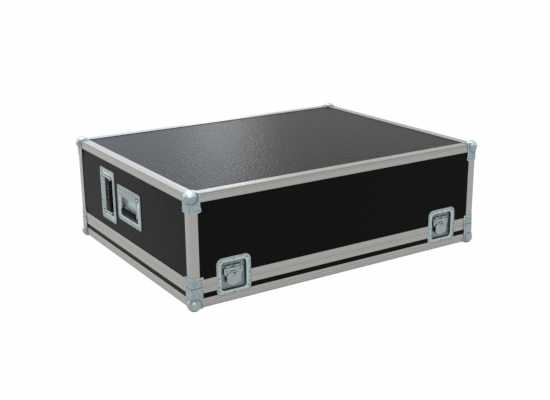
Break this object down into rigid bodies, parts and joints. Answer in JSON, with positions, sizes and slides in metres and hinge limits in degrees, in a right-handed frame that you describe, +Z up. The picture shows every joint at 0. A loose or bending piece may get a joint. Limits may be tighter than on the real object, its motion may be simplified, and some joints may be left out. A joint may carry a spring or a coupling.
{
  "type": "mixer flight case",
  "caption": "Ply flight case with a deep lift-off hood on a shallow tray, aluminium edging, ball corners, recessed butterfly latches and sprung bail handles.",
  "frame": {"origin": "on the floor, under the middle of the case, at the lowest points of the four lower ball corners", "axes": "+X along the long front face, to the right as seen from the front; +Y from front to back; +Z up"},
  "size_m": [1.035, 0.805, 0.341],
  "materials": {
    "laminate": "black pebbled laminate on birch ply",
    "aluminium": "satin extruded",
    "corner": "pressed, bright zinc plated",
    "dish": "deep drawn, bright zinc plated",
    "mechanism": "pressed, bright zinc plated",
    "grip": "moulded, matt",
    "foam": "charcoal foam"
  },
  "bodies": {
    "tray": {"tray_floor_panel": "laminate", "tray_walls": "laminate", "tray_rim": "aluminium", "tray_edging": "aluminium", "tray_foam": "foam", "tray_ball_corner_fl": "corner", "tray_ball_corner_fr": "corner", "tray_ball_corner_rl": "corner", "tray_ball_corner_rr": "corner", "latch_fl_lower_dish": "dish", "latch_fr_lower_dish": "dish", "latch_rl_lower_dish": "dish", "latch_rr_lower_dish": "dish"},
    "hood": {"hood_top_panel": "laminate", "hood_front_panel": "laminate", "hood_rear_panel": "laminate", "hood_left_panel": "laminate", "hood_right_panel": "laminate", "hood_edging": "aluminium", "hood_rim": "aluminium", "hood_ball_corner_fl": "corner", "hood_ball_corner_fr": "corner", "hood_ball_corner_rl": "corner", "hood_ball_corner_rr": "corner", "hood_corner_brace_fl": "corner", "hood_corner_brace_fr": "corner", "hood_corner_brace_rl": "corner", "hood_corner_brace_rr": "corner", "latch_fl_upper_dish": "dish", "latch_fr_upper_dish": "dish", "latch_rl_upper_dish": "dish", "latch_rr_upper_dish": "dish", "handle_left_mid_dish": "dish", "handle_left_rear_dish": "dish", "handle_right_mid_dish": "dish", "handle_right_rear_dish": "dish"},
    "latch_fl_link": {"latch_fl_link": "mechanism"},
    "latch_fl_hook": {"latch_fl_hook": "mechanism"},
    "latch_fl_hub": {"latch_fl_hub": "mechanism"},
    "latch_fl_wing": {"latch_fl_wing": "mechanism"},
    "latch_fr_link": {"latch_fr_link": "mechanism"},
    "latch_fr_hook": {"latch_fr_hook": "mechanism"},
    "latch_fr_hub": {"latch_fr_hub": "mechanism"},
    "latch_fr_wing": {"latch_fr_wing": "mechanism"},
    "latch_rl_link": {"latch_rl_link": "mechanism"},
    "latch_rl_hook": {"latch_rl_hook": "mechanism"},
    "latch_rl_hub": {"latch_rl_hub": "mechanism"},
    "latch_rl_wing": {"latch_rl_wing": "mechanism"},
    "latch_rr_link": {"latch_rr_link": "mechanism"},
    "latch_rr_hook": {"latch_rr_hook": "mechanism"},
    "latch_rr_hub": {"latch_rr_hub": "mechanism"},
    "latch_rr_wing": {"latch_rr_wing": "mechanism"},
    "handle_left_mid_bail": {"handle_left_mid_bail": "mechanism", "handle_left_mid_grip": "grip"},
    "handle_left_rear_bail": {"handle_left_rear_bail": "mechanism", "handle_left_rear_grip": "grip"},
    "handle_right_mid_bail": {"handle_right_mid_bail": "mechanism", "handle_right_mid_grip": "grip"},
    "handle_right_rear_bail": {"handle_right_rear_bail": "mechanism", "handle_right_rear_grip": "grip"}
  },
  "joints": [
    {"name": "hood_lift", "type": "slide", "parent": "tray", "child": "hood", "axis": [0, 0, 1], "range_m": [0, 0.35]},
    {"name": "latch_fl_tilt", "type": "hinge", "parent": "hood", "child": "latch_fl_link", "pos_m": [-0.3775, -0.3873, 0.1085], "axis": [-1, 0, 0], "range_deg": [-2, 25]},
    {"name": "latch_fl_slide", "type": "slide", "parent": "latch_fl_link", "child": "latch_fl_hook", "axis": [0, 0, -1], "range_m": [0, 0.006]},
    {"name": "latch_fl_turn", "type": "hinge", "parent": "latch_fl_hook", "child": "latch_fl_hub", "pos_m": [-0.3775, -0.3907, 0.0805], "axis": [0, 1, 0], "range_deg": [0, 180]},
    {"name": "latch_fl_fold", "type": "hinge", "parent": "latch_fl_hub", "child": "latch_fl_wing", "pos_m": [-0.3775, -0.39265, 0.0935], "axis": [-1, 0, 0], "range_deg": [0, 90]},
    {"name": "latch_fr_tilt", "type": "hinge", "parent": "hood", "child": "latch_fr_link", "pos_m": [0.3775, -0.3873, 0.1085], "axis": [-1, 0, 0], "range_deg": [-2, 25]},
    {"name": "latch_fr_slide", "type": "slide", "parent": "latch_fr_link", "child": "latch_fr_hook", "axis": [0, 0, -1], "range_m": [0, 0.006]},
    {"name": "latch_fr_turn", "type": "hinge", "parent": "latch_fr_hook", "child": "latch_fr_hub", "pos_m": [0.3775, -0.3907, 0.0805], "axis": [0, 1, 0], "range_deg": [0, 180]},
    {"name": "latch_fr_fold", "type": "hinge", "parent": "latch_fr_hub", "child": "latch_fr_wing", "pos_m": [0.3775, -0.39265, 0.0935], "axis": [-1, 0, 0], "range_deg": [0, 90]},
    {"name": "latch_rl_tilt", "type": "hinge", "parent": "hood", "child": "latch_rl_link", "pos_m": [-0.3775, 0.3873, 0.1085], "axis": [1, 0, 0], "range_deg": [-2, 25]},
    {"name": "latch_rl_slide", "type": "slide", "parent": "latch_rl_link", "child": "latch_rl_hook", "axis": [0, 0, -1], "range_m": [0, 0.006]},
    {"name": "latch_rl_turn", "type": "hinge", "parent": "latch_rl_hook", "child": "latch_rl_hub", "pos_m": [-0.3775, 0.3907, 0.0805], "axis": [0, -1, 0], "range_deg": [0, 180]},
    {"name": "latch_rl_fold", "type": "hinge", "parent": "latch_rl_hub", "child": "latch_rl_wing", "pos_m": [-0.3775, 0.39265, 0.0935], "axis": [1, 0, 0], "range_deg": [0, 90]},
    {"name": "latch_rr_tilt", "type": "hinge", "parent": "hood", "child": "latch_rr_link", "pos_m": [0.3775, 0.3873, 0.1085], "axis": [1, 0, 0], "range_deg": [-2, 25]},
    {"name": "latch_rr_slide", "type": "slide", "parent": "latch_rr_link", "child": "latch_rr_hook", "axis": [0, 0, -1], "range_m": [0, 0.006]},
    {"name": "latch_rr_turn", "type": "hinge", "parent": "latch_rr_hook", "child": "latch_rr_hub", "pos_m": [0.3775, 0.3907, 0.0805], "axis": [0, -1, 0], "range_deg": [0, 180]},
    {"name": "latch_rr_fold", "type": "hinge", "parent": "latch_rr_hub", "child": "latch_rr_wing", "pos_m": [0.3775, 0.39265, 0.0935], "axis": [1, 0, 0], "range_deg": [0, 90]},
    {"name": "handle_left_mid_swing", "type": "hinge", "parent": "hood", "child": "handle_left_mid_bail", "pos_m": [-0.506, 0, 0.234], "axis": [0, 1, 0], "range_deg": [0, 90], "stiffness_Nm_per_rad": 0.3, "springref_deg": -17.19},
    {"name": "handle_left_rear_swing", "type": "hinge", "parent": "hood", "child": "handle_left_rear_bail", "pos_m": [-0.506, 0.194, 0.198], "axis": [0, 0, -1], "range_deg": [0, 90], "stiffness_Nm_per_rad": 0.3, "springref_deg": -17.19},
    {"name": "handle_right_mid_swing", "type": "hinge", "parent": "hood", "child": "handle_right_mid_bail", "pos_m": [0.506, 0, 0.234], "axis": [0, -1, 0], "range_deg": [0, 90], "stiffness_Nm_per_rad": 0.3, "springref_deg": -17.19},
    {"name": "handle_right_rear_swing", "type": "hinge", "parent": "hood", "child": "handle_right_rear_bail", "pos_m": [0.506, 0.194, 0.198], "axis": [0, 0, 1], "range_deg": [0, 90], "stiffness_Nm_per_rad": 0.3, "springref_deg": -17.19}
  ],
  "couplings": [
    {"joint": "latch_fl_slide", "follows": "latch_fl_turn", "m_per_rad": 0.00191},
    {"joint": "latch_fr_slide", "follows": "latch_fr_turn", "m_per_rad": 0.00191},
    {"joint": "latch_rl_slide", "follows": "latch_rl_turn", "m_per_rad": 0.00191},
    {"joint": "latch_rr_slide", "follows": "latch_rr_turn", "m_per_rad": 0.00191}
  ]
}
